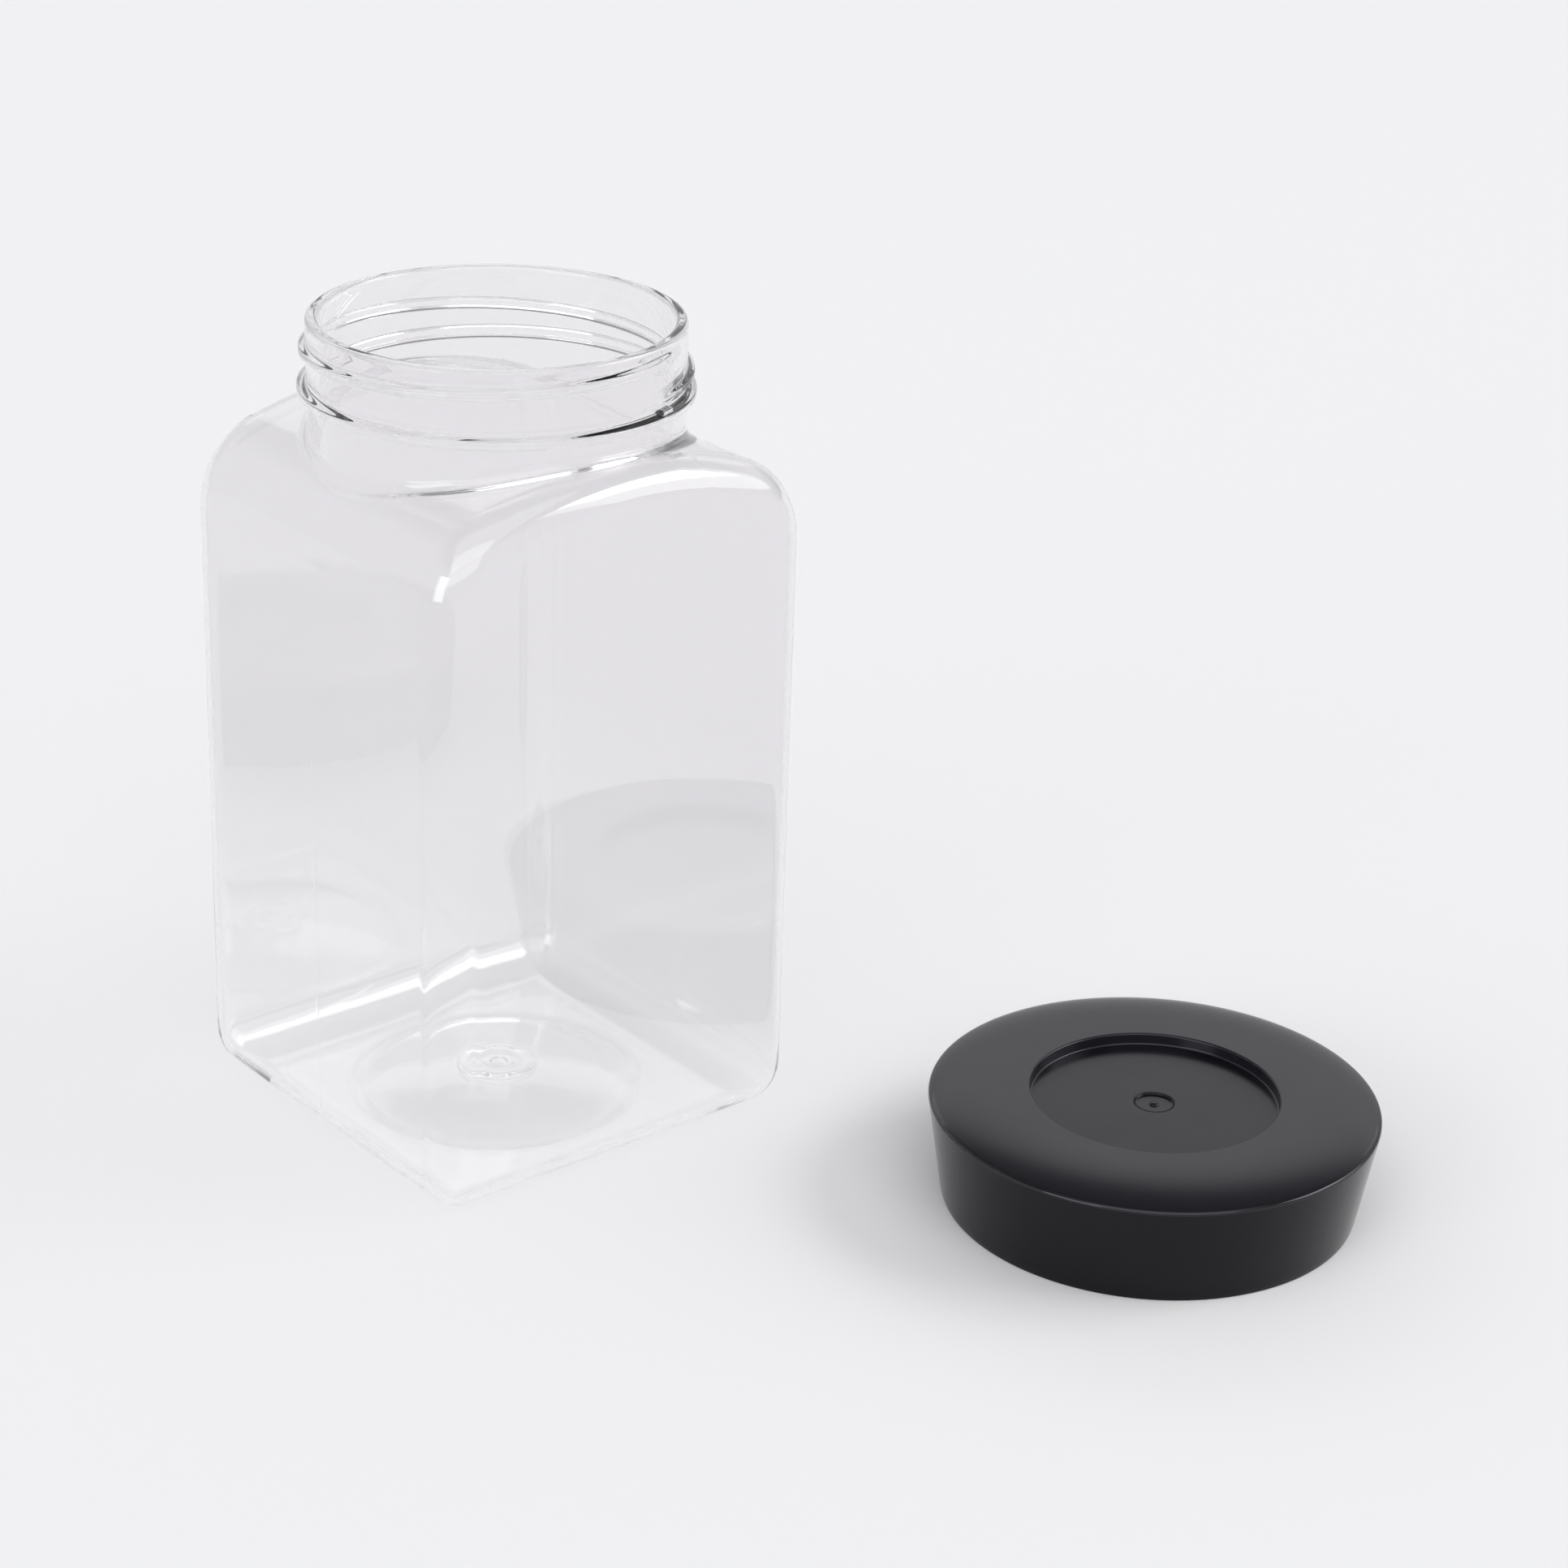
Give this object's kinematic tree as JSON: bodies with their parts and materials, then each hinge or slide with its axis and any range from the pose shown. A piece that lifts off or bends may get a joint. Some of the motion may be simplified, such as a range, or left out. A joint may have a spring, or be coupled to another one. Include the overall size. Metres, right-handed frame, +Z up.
{
  "type": "specimen jar",
  "caption": "Square clear plastic jar with a vaulted shoulder and wide screw neck, and its black screw lid with foam liner set down beside it.",
  "frame": {"origin": "middle of the jar's base on the surface it stands on, on the neck's axis", "axes": "+Z up along the neck's axis; the arched faces look along +Y and -Y, the low-topped faces along +X and -X; the lid lies towards +X and -Y"},
  "size_m": [0.195, 0.238, 0.195],
  "materials": {
    "clear_plastic": "clear blown PET, glossy",
    "black_plastic": "black moulded polypropylene, satin top and smoother skirt",
    "liner_foam": "white polyethylene foam"
  },
  "bodies": {
    "jar": {"jar_body": "clear_plastic"},
    "liner": {"lid_liner": "liner_foam"},
    "lid": {"lid_shell": "black_plastic"}
  },
  "joints": [
    {"name": "lid_lift", "type": "slide", "parent": "jar", "child": "liner", "axis": [0, 0, 1], "range_m": [0, 0.25]},
    {"name": "lid_turn", "type": "hinge", "parent": "liner", "child": "lid", "pos_m": [0.091, -0.134, 0], "axis": [0, 0, 1], "continuous": true}
  ]
}
